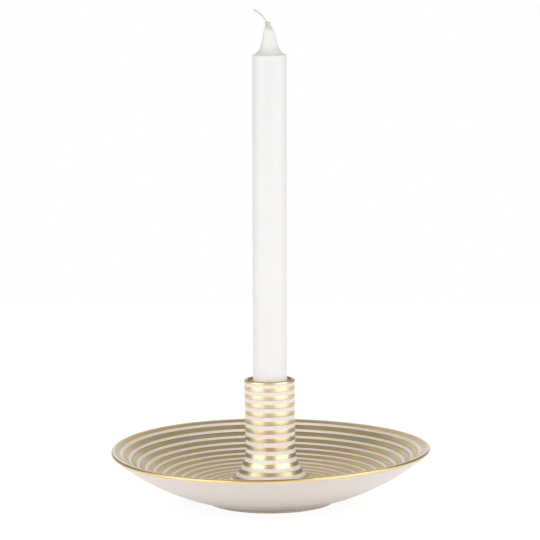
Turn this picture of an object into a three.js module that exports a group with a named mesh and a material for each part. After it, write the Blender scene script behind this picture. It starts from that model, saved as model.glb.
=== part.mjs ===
// A stoneware candle plate: a shallow round dish on a foot ring, a flared candle socket luted to its
// middle, and a dinner candle with its wick standing in the socket.
// Millimetres, +Z up. The origin is on the axis, in the plane that the foot ring stands on.
import * as THREE from "three";

// Dish
const RIM_RADIUS = 102.3;
const RIM_HEIGHT = 34.5;
const LIP_ROUND = 1.3; // radius of the rounded edge of the rim
const UNDERSIDE_ARC = 148; // radius of the outside curve from foot to rim
const WELL_PULL = 36.8; // how far the flat middle holds the inside curve down
const SHOULDER_PULL = 10.6; // how far the shoulder below the lip holds it up
const SHOULDER_TILT = 15; // slope of that shoulder, in degrees
const FOOT_RADIUS = 40.9;
const FOOT_HEIGHT = 1.9;
const FOOT_LEAN = 1; // how much wider the foot is at its top than at its bottom
const FOOT_WIDTH = 5; // width of the ring that stands on the table
const FOOT_ROUND = 0.4; // worn edge of the foot
const RECESS_HEIGHT = 2.2; // underside of the middle, above the table
const FLOOR_THICKNESS = 8.4; // clay of the flat middle, where the socket is luted on
const FLOOR_HEIGHT = RECESS_HEIGHT + FLOOR_THICKNESS;
const VENT_RADIUS = 3; // hole that lets air out of the hollow stem in the kiln

// Candle
const CANDLE_RADIUS = 11;
const CANDLE_LENGTH = 250;
const TIP_HEIGHT = 18.4; // drawn tip, from the shoulder to the end of the wax
const SHOULDER_ROUND = 0.8;
const CHEEK_RADIUS = 5.2; // the tip draws in towards this radius
const CHEEK_LOW = 3; // heights above the shoulder where the curve draws in and lets go
const CHEEK_HIGH = 9;
const TIP_BEVEL = 1.4; // height of the melted edge at the very end

// Candle socket
const CANDLE_FIT = 0.3; // play round the foot of the candle
const MOUTH_PLAY = 2.9; // room round the candle at the mouth
const MOUTH_WALL = 2.4; // thickness of the mouth's edge
const MOUTH_RADIUS = CANDLE_RADIUS + MOUTH_PLAY + MOUTH_WALL;
const STEM_TAPER = 0.45; // how much slimmer the stem is at its waist than at its mouth
const STEM_RADIUS = MOUTH_RADIUS - STEM_TAPER;
const STEM_WALL = 4.2;
const FLARE_SPREAD = 20.15; // how far the stem spreads over the dish
const FLARE_HEIGHT = 24; // height of the curve that spreads it
const BASE_RADIUS = STEM_RADIUS + FLARE_SPREAD;
const BASE_EDGE = 0.6; // thickness of the flare at its rim
const SEAT_MARGIN = 0.3; // flat of the dish left round the flare
const SOCKET_HEIGHT = 79.8; // top of the socket above the table
const SOCKET_DEPTH = 25.8; // from the mouth to the candle's seat
const SOCKET_FLOOR = 4.5; // clay under the candle's seat

// Wick
const WICK_RADIUS = 0.85;
const WICK_PLAY = 0.3; // gap between the wick and its bore
const WICK_BORE = WICK_RADIUS + WICK_PLAY;
const TIP_WAX = 1.05; // wax round the bore at the top of the tip
const WICK_RISE = 10.4; // height of the bare end above the wax
const WICK_REACH = 9.8; // how far the bare end bends to one side
const WICK_TURN = 6.8; // height above the wax where it turns over

// Facets
const DISH_SIDES = 72;
const STEM_SIDES = 48;
const WICK_SIDES = 12;
const CURVE_STEPS = 10; // along each long curve of a profile
const EDGE_STEPS = 6; // round each rounded edge
const BEND_STEPS = 12; // round the wick's bend

// Centre of a circle at the given distances from two points of a profile; the upper of the two.
function centreFrom(p, distanceP, q, distanceQ) {
  const span = q.clone().sub(p);
  const length = span.length();
  const along = (distanceP ** 2 - distanceQ ** 2 + length ** 2) / (2 * length);
  const aside = Math.sqrt(distanceP ** 2 - along ** 2);
  const direction = span.divideScalar(length);
  const normal = new THREE.Vector2(-direction.y, direction.x);
  const foot = p.clone().addScaledVector(direction, along);
  const side = normal.y > 0 ? aside : -aside;
  return foot.addScaledVector(normal, side);
}

// Points of an arc in a profile, from one angle to another, both ends included.
function arc(centre, radiusX, radiusY, from, to, steps) {
  const points = [];
  for (let i = 0; i <= steps; i += 1) {
    const angle = from + ((to - from) * i) / steps;
    const x = centre.x + radiusX * Math.cos(angle);
    const y = centre.y + radiusY * Math.sin(angle);
    points.push(new THREE.Vector2(x, y));
  }
  return points;
}

function angleAt(centre, point) {
  return Math.atan2(point.y - centre.y, point.x - centre.x);
}

// Revolves a profile of (radius, height) points about the Z axis.
function revolve(points, sides) {
  const geometry = new THREE.LatheGeometry(points, sides);
  return geometry.rotateX(Math.PI / 2);
}

function named(name, geometry, look) {
  const mesh = new THREE.Mesh(geometry, new THREE.MeshStandardMaterial(look));
  mesh.name = name;
  return mesh;
}

// The dish: an arc outside and a slack S inside, which both run smoothly into the rounded lip.
function dish() {
  const footTop = new THREE.Vector2(FOOT_RADIUS + FOOT_LEAN, FOOT_HEIGHT);
  const footInside = FOOT_RADIUS - FOOT_WIDTH;
  const seatEdge = new THREE.Vector2(BASE_RADIUS + SEAT_MARGIN, FLOOR_HEIGHT);
  const lip = new THREE.Vector2(RIM_RADIUS - LIP_ROUND, RIM_HEIGHT - LIP_ROUND);
  const under = centreFrom(footTop, UNDERSIDE_ARC, lip, UNDERSIDE_ARC - LIP_ROUND);
  const tilt = THREE.MathUtils.degToRad(SHOULDER_TILT);
  const shoulder = new THREE.Vector2(Math.cos(tilt), Math.sin(tilt));
  const lipStart = angleAt(under, lip);
  const lipEdge = arc(lip, LIP_ROUND, LIP_ROUND, lipStart, Math.PI / 2 + tilt, EDGE_STEPS);
  const lipEnd = lipEdge[EDGE_STEPS];
  const well = new THREE.CubicBezierCurve(
    lipEnd,
    lipEnd.clone().addScaledVector(shoulder, -SHOULDER_PULL),
    new THREE.Vector2(seatEdge.x + WELL_PULL, seatEdge.y),
    seatEdge,
  );

  const profile = [
    new THREE.Vector2(VENT_RADIUS, FLOOR_HEIGHT),
    new THREE.Vector2(VENT_RADIUS, RECESS_HEIGHT),
    new THREE.Vector2(footInside - RECESS_HEIGHT, RECESS_HEIGHT),
    new THREE.Vector2(footInside - FOOT_ROUND, FOOT_ROUND),
    new THREE.Vector2(footInside, 0),
    new THREE.Vector2(FOOT_RADIUS - FOOT_ROUND, 0),
    new THREE.Vector2(FOOT_RADIUS, FOOT_ROUND),
    ...arc(under, UNDERSIDE_ARC, UNDERSIDE_ARC, angleAt(under, footTop), lipStart, CURVE_STEPS),
    ...lipEdge.slice(1),
    ...well.getPoints(CURVE_STEPS).slice(1),
    new THREE.Vector2(VENT_RADIUS, FLOOR_HEIGHT),
  ];
  const look = { color: 0xe6e1da, roughness: 0.32, metalness: 0 };
  return named("dish", revolve(profile, DISH_SIDES), look);
}

// The socket: a flared stem, hollow from below, with a bore that narrows down to grip the candle.
function candleSocket() {
  const flare = new THREE.Vector2(BASE_RADIUS, FLOOR_HEIGHT + BASE_EDGE + FLARE_HEIGHT);
  const edge = MOUTH_WALL / 2;
  const lip = new THREE.Vector2(MOUTH_RADIUS - edge, SOCKET_HEIGHT - edge);
  const seatHeight = SOCKET_HEIGHT - SOCKET_DEPTH;
  const hollowTop = seatHeight - SOCKET_FLOOR;
  const hollow = STEM_RADIUS - STEM_WALL;

  const profile = [
    new THREE.Vector2(0, hollowTop),
    new THREE.Vector2(hollow - STEM_WALL / 2, hollowTop),
    new THREE.Vector2(hollow, hollowTop - STEM_WALL / 2),
    new THREE.Vector2(hollow, FLOOR_HEIGHT),
    new THREE.Vector2(BASE_RADIUS, FLOOR_HEIGHT),
    ...arc(flare, FLARE_SPREAD, FLARE_HEIGHT, -Math.PI / 2, -Math.PI, CURVE_STEPS),
    ...arc(lip, edge, edge, 0, Math.PI, EDGE_STEPS),
    new THREE.Vector2(CANDLE_RADIUS + CANDLE_FIT, seatHeight),
    new THREE.Vector2(0, seatHeight),
  ];
  const look = { color: 0xe9c98a, roughness: 0.3, metalness: 0.6 };
  return named("candle_socket", revolve(profile, STEM_SIDES), look);
}

// The wax: a straight stick with a rounded shoulder and a hollow-cheeked tip, bored for the wick.
function candle() {
  const bottom = SOCKET_HEIGHT - SOCKET_DEPTH;
  const top = bottom + CANDLE_LENGTH;
  const shoulder = top - TIP_HEIGHT;
  const round = new THREE.Vector2(CANDLE_RADIUS - SHOULDER_ROUND, shoulder);
  const cheek = new THREE.CubicBezierCurve(
    new THREE.Vector2(CANDLE_RADIUS - SHOULDER_ROUND, shoulder + SHOULDER_ROUND),
    new THREE.Vector2(CHEEK_RADIUS, shoulder + CHEEK_LOW),
    new THREE.Vector2(CHEEK_RADIUS, shoulder + CHEEK_HIGH),
    new THREE.Vector2(WICK_BORE + TIP_WAX, top - TIP_BEVEL),
  );

  const profile = [
    new THREE.Vector2(WICK_BORE, bottom),
    new THREE.Vector2(CANDLE_RADIUS, bottom),
    ...arc(round, SHOULDER_ROUND, SHOULDER_ROUND, 0, Math.PI / 2, EDGE_STEPS),
    ...cheek.getPoints(CURVE_STEPS).slice(1),
    new THREE.Vector2(WICK_BORE, top),
    new THREE.Vector2(WICK_BORE, bottom),
  ];
  const look = { color: 0xf4f4f0, roughness: 0.45, metalness: 0 };
  return named("candle", revolve(profile, STEM_SIDES), look);
}

// The wick's middle line: one step up through the wax, then small steps round the bend.
class WickRoute extends THREE.Curve {
  constructor(bottom, top) {
    super();
    const tip = new THREE.Vector3(0, 0, top);
    this.inside = new THREE.LineCurve3(new THREE.Vector3(0, 0, bottom), tip);
    this.bend = new THREE.QuadraticBezierCurve3(
      tip,
      new THREE.Vector3(0, 0, top + WICK_TURN),
      new THREE.Vector3(-WICK_REACH, 0, top + WICK_RISE),
    );
  }

  getPoint(t) {
    const step = t * (BEND_STEPS + 1);
    return step < 1 ? this.inside.getPoint(step) : this.bend.getPoint((step - 1) / BEND_STEPS);
  }

  getUtoTmapping(u) {
    return u;
  }
}

// The wick: straight through the wax, then bent over to one side above the tip.
function wick() {
  const bottom = SOCKET_HEIGHT - SOCKET_DEPTH;
  const section = new THREE.Shape().absarc(0, 0, WICK_RADIUS, 0, 2 * Math.PI);
  const geometry = new THREE.ExtrudeGeometry(section, {
    extrudePath: new WickRoute(bottom, bottom + CANDLE_LENGTH),
    steps: BEND_STEPS + 1,
    curveSegments: WICK_SIDES / 2,
    bevelEnabled: false,
  });
  const look = { color: 0xdedcd6, roughness: 0.9, metalness: 0 };
  return named("wick", geometry, look);
}

const candlePlate = new THREE.Group();
candlePlate.add(dish(), candleSocket(), candle(), wick());

export default candlePlate;
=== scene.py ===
# %% [markdown]
# # A gold-banded candle plate
# The real object is glazed stoneware: a shallow round dish on a foot ring, with a flared candle socket
# luted to its middle. Gold lustre is banded on by brush while the plate turns on a wheel, and a dinner
# candle with a braided wick stands in the socket. Every clay and wax form here is a turned one, so the
# lesson is about profiles, and about what a wheel does to them.

# %% Load the frame
import math

import bpy
import numpy as np
from mathutils import Matrix, Vector


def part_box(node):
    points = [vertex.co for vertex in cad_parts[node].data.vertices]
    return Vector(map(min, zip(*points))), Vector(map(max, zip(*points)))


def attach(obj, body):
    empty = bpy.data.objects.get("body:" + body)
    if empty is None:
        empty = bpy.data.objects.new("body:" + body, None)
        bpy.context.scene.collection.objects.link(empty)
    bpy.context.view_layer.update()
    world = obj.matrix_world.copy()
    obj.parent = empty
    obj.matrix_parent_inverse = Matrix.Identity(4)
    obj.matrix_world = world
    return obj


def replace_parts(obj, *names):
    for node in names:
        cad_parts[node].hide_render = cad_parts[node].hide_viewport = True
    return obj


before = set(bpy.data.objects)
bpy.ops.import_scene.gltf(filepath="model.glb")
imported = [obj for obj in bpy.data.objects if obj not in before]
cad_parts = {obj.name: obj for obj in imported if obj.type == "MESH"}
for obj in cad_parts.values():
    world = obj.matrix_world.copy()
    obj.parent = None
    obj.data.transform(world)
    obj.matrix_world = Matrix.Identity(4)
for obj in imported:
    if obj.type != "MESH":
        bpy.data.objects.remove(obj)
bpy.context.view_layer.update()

MM = 0.001
_, dish_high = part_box("dish")
socket_low, socket_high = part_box("candle_socket")
candle_low, candle_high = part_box("candle")
wick_low, wick_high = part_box("wick")
print("rim across", round(2 * dish_high.x / MM, 1), "mm, height in all", round(wick_high.z / MM, 1), "mm")

# %% [markdown]
# Node trees are easier to read when each node takes one line. These helpers add a node, set its options,
# and fill its sockets with either a number or a link from another node. The commonest sums have short
# names of their own, and a group opens with named sockets.

# %% Node helpers
NUMBER = "NodeSocketFloat"
WHOLE = "NodeSocketInt"
SHAPE = "NodeSocketGeometry"
FINISH = "NodeSocketMaterial"


def add(tree, kind, values=None, **options):
    """Adds a node; values are numbers for its sockets, or other nodes' sockets to link from."""
    node = tree.nodes.new(kind)
    for option, choice in options.items():
        setattr(node, option, choice)
    for socket, value in (values or {}).items():
        target = node.inputs[socket]
        if isinstance(value, bpy.types.NodeSocket):
            tree.links.new(value, target)
        else:
            target.default_value = value
    return node


def maths(tree, operation, *values):
    """One Math node, and the socket that holds its answer."""
    return add(tree, "ShaderNodeMath", dict(enumerate(values)), operation=operation).outputs[0]


def short(operation):
    """A Math node of one kind under a short name."""
    return lambda tree, *values: maths(tree, operation, *values)


plus, minus, times = short("ADD"), short("SUBTRACT"), short("MULTIPLY")
divided, larger = short("DIVIDE"), short("MAXIMUM")


def hypotenuse(tree, a, b):
    """How long a step is that goes a one way and b at right angles to it."""
    squares = [times(tree, side, side) for side in (a, b)]
    return maths(tree, "SQRT", plus(tree, *squares))


def axes(tree, vector):
    """The X, Y and Z of a vector, as three sockets."""
    return add(tree, "ShaderNodeSeparateXYZ", {0: vector}).outputs


def open_group(name, kind, inputs, outputs):
    """A new node group with named sockets: its tree, what comes in, and the node that takes results."""
    tree = bpy.data.node_groups.new(name, kind)
    for label, (socket, start) in inputs.items():
        made = tree.interface.new_socket(name=label, in_out="INPUT", socket_type=socket)
        if start is not None:
            made.default_value = start
    for label, socket in outputs.items():
        tree.interface.new_socket(name=label, in_out="OUTPUT", socket_type=socket)
    return tree, add(tree, "NodeGroupInput").outputs, add(tree, "NodeGroupOutput")


print("helpers for nodes:", ", ".join(f.__name__ for f in (add, maths, hypotenuse, axes, open_group)))

# %% [markdown]
# Two effects turn up in more than one finish. Anything that was worked on a turning wheel has fine
# streaks that run round the axis, in brushed gold as in thrown clay, and anything fired, poured or spun
# has a soft mottle. Each is one shader group with its own sizes. The streaks read noise in four
# dimensions, with the cosine and sine of the angle as two of them, so that they meet themselves after a
# full turn and leave no seam.

# %% Shared effects: wheel streaks and mottle
NEXT_TO_AXIS = 0.1 * MM


def on_piece(tree):
    """Where a point is on its piece, which stays the same in every pose."""
    return add(tree, "ShaderNodeTexCoord").outputs["Object"]


def wheel_streaks():
    inputs = {"Spacing": (NUMBER, 0.5 * MM), "Around": (NUMBER, 2.0)}
    tree, given, result = open_group("wheel_streaks", "ShaderNodeTree", inputs, {"Streak": NUMBER})
    x, y, z = axes(tree, on_piece(tree))
    radius = hypotenuse(tree, x, y)
    safe = larger(tree, radius, NEXT_TO_AXIS)
    cosine = times(tree, divided(tree, x, safe), given["Around"])
    sine = times(tree, divided(tree, y, safe), given["Around"])
    across = divided(tree, radius, given["Spacing"])
    up = divided(tree, z, given["Spacing"])
    where = add(tree, "ShaderNodeCombineXYZ", {0: across, 1: up, 2: cosine}).outputs[0]
    values = {"Vector": where, "W": sine, "Scale": 1.0, "Detail": 2.0}
    noise = add(tree, "ShaderNodeTexNoise", values, noise_dimensions="4D")
    tree.links.new(noise.outputs[0], result.inputs["Streak"])
    return tree


def mottle():
    inputs = {"Size": (NUMBER, 10 * MM), "Detail": (NUMBER, 3.0)}
    tree, given, result = open_group("mottle", "ShaderNodeTree", inputs, {"Mottle": NUMBER})
    scale = divided(tree, 1.0, given["Size"])
    values = {"Vector": on_piece(tree), "Scale": scale, "Detail": given["Detail"]}
    noise = add(tree, "ShaderNodeTexNoise", values)
    tree.links.new(noise.outputs[0], result.inputs["Mottle"])
    return tree


STREAKS = wheel_streaks()
MOTTLE = mottle()
print("shared effects:", STREAKS.name, MOTTLE.name)

# %% [markdown]
# A finish starts as an empty material with one Principled shader. Values that are the same all over go
# straight on to the shader, and only what changes over the surface comes from nodes.

# %% Finish helpers
def finish(name, **constants):
    """A material, its tree and its Principled shader."""
    material = bpy.data.materials.new(name)
    material.use_nodes = True
    tree = material.node_tree
    shader = tree.nodes["Principled BSDF"]
    for socket, value in constants.items():
        shader.inputs[socket.replace("_", " ")].default_value = value
    return material, tree, shader


def effect(tree, group, **sizes):
    """Places a shared effect in a material, and gives its result."""
    return add(tree, "ShaderNodeGroup", sizes, node_tree=group).outputs[0]


def blend_colours(tree, share, first, second):
    """A colour between two, by a share from 0 to 1."""
    values = {"Factor": share, 6: first, 7: second}
    return add(tree, "ShaderNodeMix", values, data_type="RGBA").outputs[2]


def between(tree, value, low, high, at_low, at_high):
    """Maps a value that runs from low to high on to another range, and holds it there."""
    values = {"Value": value, 1: low, 2: high, 3: at_low, 4: at_high}
    return add(tree, "ShaderNodeMapRange", values).outputs[0]


def bump(tree, shader, height, depth):
    """Roughens a surface by a height from 0 to 1, as deep as the given length."""
    made = add(tree, "ShaderNodeBump", {"Strength": 1.0, "Distance": depth, "Height": height})
    tree.links.new(made.outputs[0], shader.inputs["Normal"])


print("helpers for finishes:", ", ".join(f.__name__ for f in (finish, effect, blend_colours, between, bump)))

# %% [markdown]
# The glaze is a warm satin white. Its thickness varies, which shows as a mottle of two near whites, and
# it keeps faint lines from the wheel. Where it faces upwards inside the dish it is painted darker and
# warmer, which is painted shade for the deep well. Outside it is painted darker and browner towards the
# foot, most of all in the last few millimetres, which is painted shade for the dim light under the plate
# near its foot. Potters wipe the glaze off the foot ring itself, so that the plate doesn't stick to the
# kiln shelf, and below a given height the finish turns to bare clay, with a wavering edge. These places
# could be painted by hand, but masks that are made from the height and from the way the surface faces
# follow the form by themselves.

# %% White glaze, wiped off the foot
GLAZE_TONES = (0.85, 0.81, 0.79, 1), (0.89, 0.86, 0.845, 1)
# Painted shade: the darker, warmer colour given to upward-facing glaze in the well.
GLAZE_PAINTED_SHADE_IN_WELL = (0.60, 0.54, 0.48, 1)
# Painted shade: the dark brown that downward-facing glaze turns towards the foot, for the dim light under
# the plate.
GLAZE_PAINTED_SHADE_AT_FOOT = (0.26, 0.14, 0.05, 1)
CLAY_TONES = (0.66, 0.56, 0.47, 1), (0.92, 0.82, 0.71, 1)
WELL_SHADE_SHARE = 0.2
GLAZE_LINE = 2.9 * MM
GLAZE_LINE_WAVER = 1.0 * MM
# Heights over which the painted shade towards the foot comes in, and how fast it deepens.
FOOT_SHADE_BELOW = 27 * MM
FOOT_SHADE_POWER = 2.6
FOOT_SHADE_STRONG_BELOW = 12.5 * MM
FOOT_SHADE_FULL_BELOW = 6.5 * MM
CLAY_ROUGHNESS = 0.9


def white_glaze():
    material, tree, shader = finish("white_glaze", Coat_Weight=0.25, Coat_Roughness=0.12)
    tone = effect(tree, MOTTLE, Size=14 * MM, Detail=4.0)
    glaze = blend_colours(tree, tone, *GLAZE_TONES)
    grain = effect(tree, MOTTLE, Size=0.7 * MM, Detail=6.0)
    clay = blend_colours(tree, grain, *CLAY_TONES)
    height = axes(tree, on_piece(tree))[2]
    facing = axes(tree, add(tree, "ShaderNodeNewGeometry").outputs["Normal"])[2]
    # Painted shade in the well: glaze that faces upwards is painted darker and warmer.
    well_painted_shade = between(tree, facing, 0.25, 0.7, 0.0, WELL_SHADE_SHARE)
    glaze = blend_colours(tree, well_painted_shade, glaze, GLAZE_PAINTED_SHADE_IN_WELL)
    # Painted shade under the plate: downward-facing glaze is painted darker and browner towards the foot.
    outside = between(tree, facing, -0.2, 0.1, 1.0, 0.0)
    low = maths(tree, "POWER", between(tree, height, GLAZE_LINE, FOOT_SHADE_BELOW, 1.0, 0.0), FOOT_SHADE_POWER)
    last = between(tree, height, FOOT_SHADE_FULL_BELOW, FOOT_SHADE_STRONG_BELOW, 1.0, 0.0)
    thin = times(tree, larger(tree, low, last), outside)
    glaze = blend_colours(tree, thin, glaze, GLAZE_PAINTED_SHADE_AT_FOOT)
    waver = times(tree, effect(tree, MOTTLE, Size=6 * MM, Detail=2.0), GLAZE_LINE_WAVER)
    edge = minus(tree, height, waver)
    glazed = between(tree, edge, GLAZE_LINE - GLAZE_LINE_WAVER, GLAZE_LINE, 0.0, 1.0)
    tree.links.new(blend_colours(tree, glazed, clay, glaze), shader.inputs["Base Color"])
    lines = effect(tree, STREAKS, Spacing=1.2 * MM, Around=1.5)
    sheen = between(tree, lines, 0.3, 0.7, 0.30, 0.38)
    smoother = minus(tree, sheen, CLAY_ROUGHNESS)
    rough = maths(tree, "MULTIPLY_ADD", glazed, smoother, CLAY_ROUGHNESS)
    tree.links.new(rough, shader.inputs["Roughness"])
    bump(tree, shader, plus(tree, lines, times(tree, grain, 0.4)), 0.012 * MM)
    return material


GLAZE = white_glaze()
print(GLAZE.name, "has", len(GLAZE.node_tree.nodes), "nodes")

# %% [markdown]
# Gold lustre is a film of real gold that is brushed on over the fired glaze and fired again. It mirrors
# like metal, but softly, because it takes on the brush's streaks, so the shader is anisotropic with its
# tangent round the axis. A coat over the metal adds the paler shine of the glassy surface. Where the
# brush carried less, the film turns thin and brown, most of all along a band's edges, and use has rubbed
# it on the rim and the mouth. In the dish some bands, picked by chance, have a dark brown line painted
# along the outer edge, and on the right side one along the inner edge too: these lines are painted shade.
# The bands carry attributes that say how far across a point is, which band it is on, and whether it is
# worn or carries the painted shade lines there.

# %% Gold lustre
GOLD_TONES = (0.73, 0.565, 0.325, 1), (0.865, 0.735, 0.465, 1)
GOLD_AT_GRAZING = (0.80, 0.69, 0.50, 1)
GOLD_THIN = (0.62, 0.44, 0.18, 1)
# Painted shade: the dark brown of the lines along some band edges.
GOLD_PAINTED_SHADE_LINE = (0.22, 0.14, 0.07, 1)
SHADE_LINE_SEED = 96


def on_band(tree, name):
    """A value that the bands carry on their points."""
    return add(tree, "ShaderNodeAttribute", attribute_name=name).outputs["Fac"]


def brush_marks(tree):
    """Where the film is thin, and where the painted shade lines go, each from 0 to 1."""
    across = on_band(tree, "across")
    from_middle = maths(tree, "ABSOLUTE", minus(tree, across, 0.5))
    thin = between(tree, from_middle, 0.36, 0.5, 0.0, 0.7)
    thin = larger(tree, thin, on_band(tree, "worn"))
    draw = plus(tree, on_band(tree, "band"), SHADE_LINE_SEED)
    chance = add(tree, "ShaderNodeTexWhiteNoise", {"W": draw}, noise_dimensions="1D").outputs["Value"]
    # Painted shade lines: bands picked by chance get one along the outer edge, and on the right side one
    # along the inner edge.
    picked = between(tree, chance, 0.45, 0.75, 0.1, 1.0)
    outer_edge = times(tree, picked, between(tree, across, 0.82, 0.94, 0.0, 1.0))
    x, y, _ = axes(tree, on_piece(tree))
    turn = maths(tree, "ABSOLUTE", maths(tree, "ARCTAN2", y, x))
    rightwards = between(tree, turn, 0.5, 1.2, 0.7, 0.0)
    inner_edge = times(tree, rightwards, between(tree, across, 0.06, 0.18, 1.0, 0.0))
    either_edge = larger(tree, outer_edge, inner_edge)
    return thin, times(tree, on_band(tree, "painted_shade_lines"), either_edge)


def gold_lustre():
    metal = {"Metallic": 1.0, "Specular_Tint": GOLD_AT_GRAZING}
    brushed = {"Anisotropic": 0.6, "Anisotropic_Rotation": 0.25}
    coat = {"Coat_Weight": 1.0, "Coat_Roughness": 0.22, "Coat_IOR": 1.7}
    material, tree, shader = finish("gold_lustre", **metal, **brushed, **coat)
    round_axis = add(tree, "ShaderNodeTangent", direction_type="RADIAL", axis="Z").outputs[0]
    tree.links.new(round_axis, shader.inputs["Tangent"])
    streak = effect(tree, STREAKS, Spacing=0.45 * MM, Around=2.5)
    patch = effect(tree, MOTTLE, Size=9 * MM, Detail=3.0)
    load = maths(tree, "MULTIPLY_ADD", streak, 0.6, times(tree, patch, 0.4))
    gold = blend_colours(tree, between(tree, load, 0.3, 0.7, 0.0, 1.0), *GOLD_TONES)
    thin, painted_shade_lines = brush_marks(tree)
    gold = blend_colours(tree, thin, gold, GOLD_THIN)
    # Painted shade: dark brown lines along some band edges.
    gold = blend_colours(tree, painted_shade_lines, gold, GOLD_PAINTED_SHADE_LINE)
    tree.links.new(gold, shader.inputs["Base Color"])
    tree.links.new(between(tree, load, 0.3, 0.7, 0.44, 0.33), shader.inputs["Roughness"])
    bump(tree, shader, streak, 0.01 * MM)
    return material


GOLD = gold_lustre()
print(GOLD.name, "has", len(GOLD.node_tree.nodes), "nodes")

# %% [markdown]
# Candle wax lets light in and scatters it, so its shadows are soft and its edges glow. Subsurface
# scattering does that. The mottle is very faint: a dipped candle is almost even, with a dull, slightly
# greasy shine. Its colour is painted a shade greyer from the foot up to the shoulder, and greyer again on
# the drawn tip: both are painted shade, for the dimmer light that falls on the upper candle and on the
# upward slopes of the tip. The wax is greyest where it creeps up the wick.

# %% Candle wax
WAX_AT_FOOT = (0.865, 0.88, 0.91, 1)
# Painted shade: the greyer wax colour at the shoulder, for the dimmer light on the upper candle.
WAX_PAINTED_SHADE_AT_SHOULDER = (0.745, 0.76, 0.785, 1)
WAX_CLOUD = (0.875, 0.885, 0.905, 1)
# Painted shade: the greyer wax colour on the drawn tip, for the dimmer light on its upward slopes.
WAX_PAINTED_SHADE_ON_TIP = (0.745, 0.755, 0.76, 1)
WAX_ON_WICK = (0.50, 0.505, 0.51, 1)
CLOUD_SHARE = 0.3
TIP_FROM = candle_high.z - 19 * MM
TIP_FADE = 6 * MM
CREEP_FADE = 2 * MM


def candle_wax():
    scatter = {"Subsurface_Weight": 0.9, "Subsurface_Radius": (1.0, 0.95, 0.88), "Subsurface_Scale": 6 * MM}
    material, tree, shader = finish("candle_wax", **scatter)
    height = axes(tree, on_piece(tree))[2]
    # Painted shade: the wax is painted greyer from the foot up to the shoulder.
    painted_shade_upwards = between(tree, height, candle_low.z, TIP_FROM, 0.0, 1.0)
    wax = blend_colours(tree, painted_shade_upwards, WAX_AT_FOOT, WAX_PAINTED_SHADE_AT_SHOULDER)
    cloud = effect(tree, MOTTLE, Size=7 * MM, Detail=3.0)
    wax = blend_colours(tree, times(tree, cloud, CLOUD_SHARE), wax, WAX_CLOUD)
    # Painted shade: the drawn tip is painted greyer than the stick.
    tip = between(tree, height, TIP_FROM, TIP_FROM + TIP_FADE, 0.0, 1.0)
    wax = blend_colours(tree, tip, wax, WAX_PAINTED_SHADE_ON_TIP)
    creeping = between(tree, height, candle_high.z - CREEP_FADE, candle_high.z + CREEP_FADE, 0.0, 1.0)
    wax = blend_colours(tree, creeping, wax, WAX_ON_WICK)
    tree.links.new(wax, shader.inputs["Base Color"])
    tree.links.new(between(tree, cloud, 0.3, 0.7, 0.52, 0.42), shader.inputs["Roughness"])
    bump(tree, shader, effect(tree, MOTTLE, Size=2.5 * MM, Detail=2.0), 0.03 * MM)
    return material


WAX = candle_wax()
print(WAX.name, "has", len(WAX.node_tree.nodes), "nodes")

# %% [markdown]
# The wick is braided cotton that was drawn through molten wax, so it is off-white and slightly stiff,
# with fibres that show as a fine grain.

# %% Wick cotton
COTTON_TONES = (0.58, 0.58, 0.585, 1), (0.76, 0.76, 0.765, 1)


def wick_cotton():
    material, tree, shader = finish("wick_cotton", Sheen_Weight=0.3, Sheen_Roughness=0.5)
    fibre = effect(tree, MOTTLE, Size=0.25 * MM, Detail=5.0)
    tree.links.new(blend_colours(tree, fibre, *COTTON_TONES), shader.inputs["Base Color"])
    tree.links.new(between(tree, fibre, 0.3, 0.7, 0.75, 0.95), shader.inputs["Roughness"])
    bump(tree, shader, fibre, 0.05 * MM)
    return material


COTTON = wick_cotton()
print(COTTON.name, "has", len(COTTON.node_tree.nodes), "nodes")

# %% [markdown]
# The wheel is a geometry node tree. It takes a profile, which is a row of points with the radius in X and
# the height in Z, and lays a flat grid out so that one side of it runs along the profile and the other
# goes once round the axis. A Screw modifier could do this too, but the tree shows the rule: a point's
# place is its radius times the cosine and sine of its angle. Where the grid meets itself, its doubles are
# merged, so that the shape is closed. Profiles run from the middle of the underside outwards and up,
# which makes the faces point outwards.

# %% The wheel: a tree that turns a profile
SAME_POINT = 0.001 * MM


def spun(tree, radius, angle, height):
    """The point at a radius, an angle and a height."""
    x = times(tree, radius, maths(tree, "COSINE", angle))
    y = times(tree, radius, maths(tree, "SINE", angle))
    return add(tree, "ShaderNodeCombineXYZ", {0: x, 1: y, 2: height}).outputs[0]


def profile_point(tree, profile, index):
    """Radius and height of one point of a profile, by its number."""
    place = add(tree, "GeometryNodeInputPosition").outputs[0]
    values = {"Geometry": profile, "Value": place, "Index": index}
    sample = add(tree, "GeometryNodeSampleIndex", data_type="FLOAT_VECTOR", domain="POINT")
    for socket, value in values.items():
        tree.links.new(value, next(s for s in sample.inputs if s.name == socket and s.enabled))
    radius, _, height = axes(tree, sample.outputs[0])
    return radius, height


def dress(tree, shape, given, result):
    """Ends a tree: makes copies real, puts the finish on and hands the shape over."""
    real = add(tree, "GeometryNodeRealizeInstances", {0: shape}).outputs[0]
    dressed = add(tree, "GeometryNodeSetMaterial", {0: real, "Material": given["Finish"]})
    tree.links.new(dressed.outputs[0], result.inputs[0])


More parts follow.
